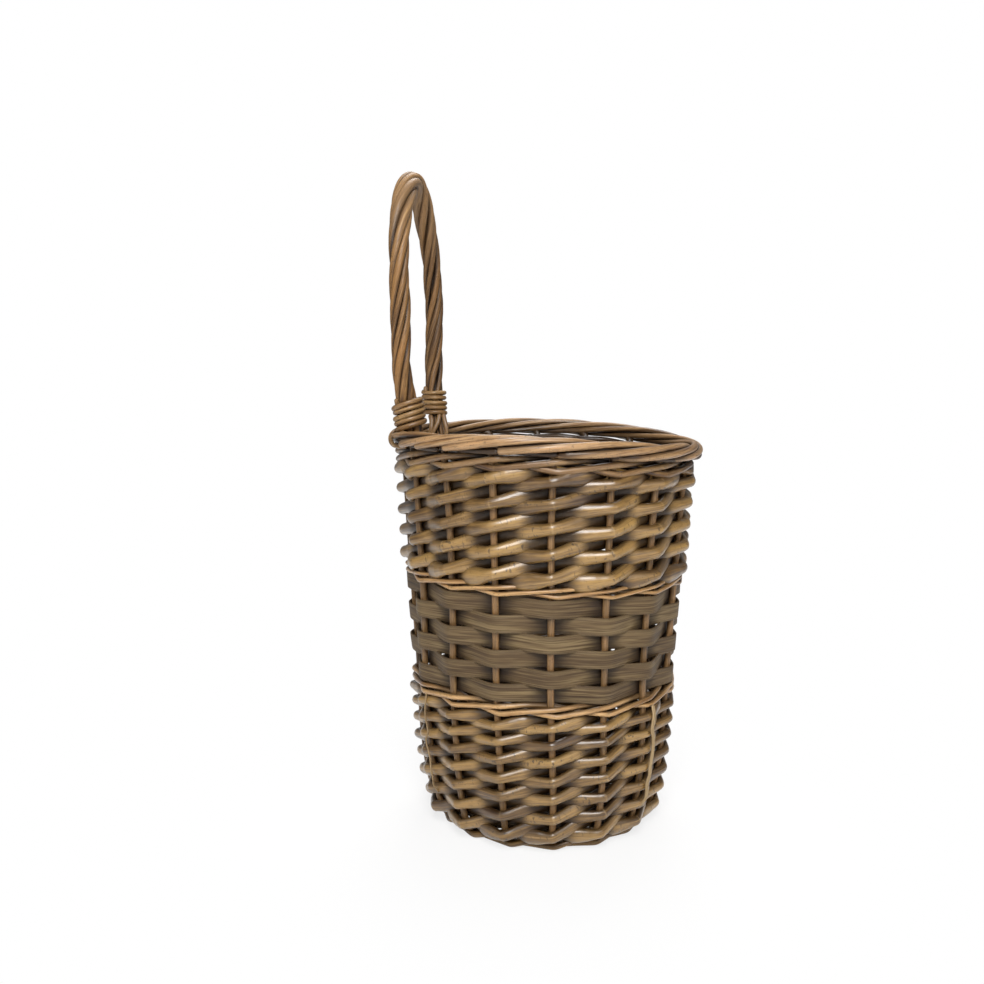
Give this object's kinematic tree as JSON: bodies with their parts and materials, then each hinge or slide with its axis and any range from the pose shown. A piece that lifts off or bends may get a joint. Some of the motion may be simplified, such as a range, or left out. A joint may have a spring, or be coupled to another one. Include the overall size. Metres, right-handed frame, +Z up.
{
  "type": "hanging willow basket",
  "caption": "Round woven willow basket with a rolled border, wales, a band of flat strips and an arched rope handle beside the mouth; stands on its base or hangs from the handle.",
  "frame": {"origin": "on the ground under the middle of the basket, at the height of the foot wale's lower face", "axes": "+Z up through the mouth; +Y towards the handle, which rises above the rim on that side; +X to the right, seen from the front with the handle at the back"},
  "size_m": [0.2236, 0.2236, 0.4627],
  "materials": {
    "stake": "bare willow with bark brown, satin",
    "randing": "bare willow, satin, slightly glossy on the bends",
    "strip": "split wood, grey-brown, matt with fine lengthwise grain",
    "wale": "thin peeled willow, orange tan",
    "border": "peeled willow, tan",
    "handle": "willow with bark, warm brown",
    "binding": "thin willow, tan-olive",
    "floor": "bare willow, satin"
  },
  "bodies": {
    "root": {"stake_1": "stake", "stake_2": "stake", "stake_3": "stake", "stake_4": "stake", "stake_5": "stake", "stake_6": "stake", "stake_7": "stake", "stake_8": "stake", "floor_round_1": "floor", "floor_round_2": "floor", "floor_round_3": "floor", "floor_round_4": "floor", "floor_round_5": "floor", "foot_wale": "wale", "lower_randing_rod_1": "randing", "lower_randing_rod_2": "randing", "lower_randing_rod_3": "randing", "lower_randing_rod_4": "randing", "lower_randing_rod_5": "randing", "lower_randing_rod_6": "randing", "lower_randing_rod_7": "randing", "lower_randing_rod_8": "randing", "lower_randing_rod_9": "randing", "lower_randing_rod_10": "randing", "lower_randing_rod_11": "randing", "lower_randing_rod_12": "randing", "lower_randing_rod_13": "randing", "lower_randing_rod_14": "randing", "lower_randing_rod_15": "randing", "lower_randing_rod_16": "randing", "lower_band_wale": "wale", "strip_1": "strip", "strip_2": "strip", "strip_3": "strip", "strip_4": "strip", "strip_5": "strip", "strip_6": "strip", "upper_band_wale": "wale", "upper_randing_rod_1": "randing", "upper_randing_rod_2": "randing", "upper_randing_rod_3": "randing", "upper_randing_rod_4": "randing", "upper_randing_rod_5": "randing", "upper_randing_rod_6": "randing", "upper_randing_rod_7": "randing", "upper_randing_rod_8": "randing", "upper_randing_rod_9": "randing", "upper_randing_rod_10": "randing", "upper_randing_rod_11": "randing", "upper_randing_rod_12": "randing", "upper_randing_rod_13": "randing", "upper_randing_rod_14": "randing", "upper_randing_rod_15": "randing", "upper_randing_rod_16": "randing", "top_wale": "wale", "rolled_border": "border", "handle_bow": "handle", "handle_binding_left": "binding", "handle_binding_right": "binding"}
  },
  "joints": []
}
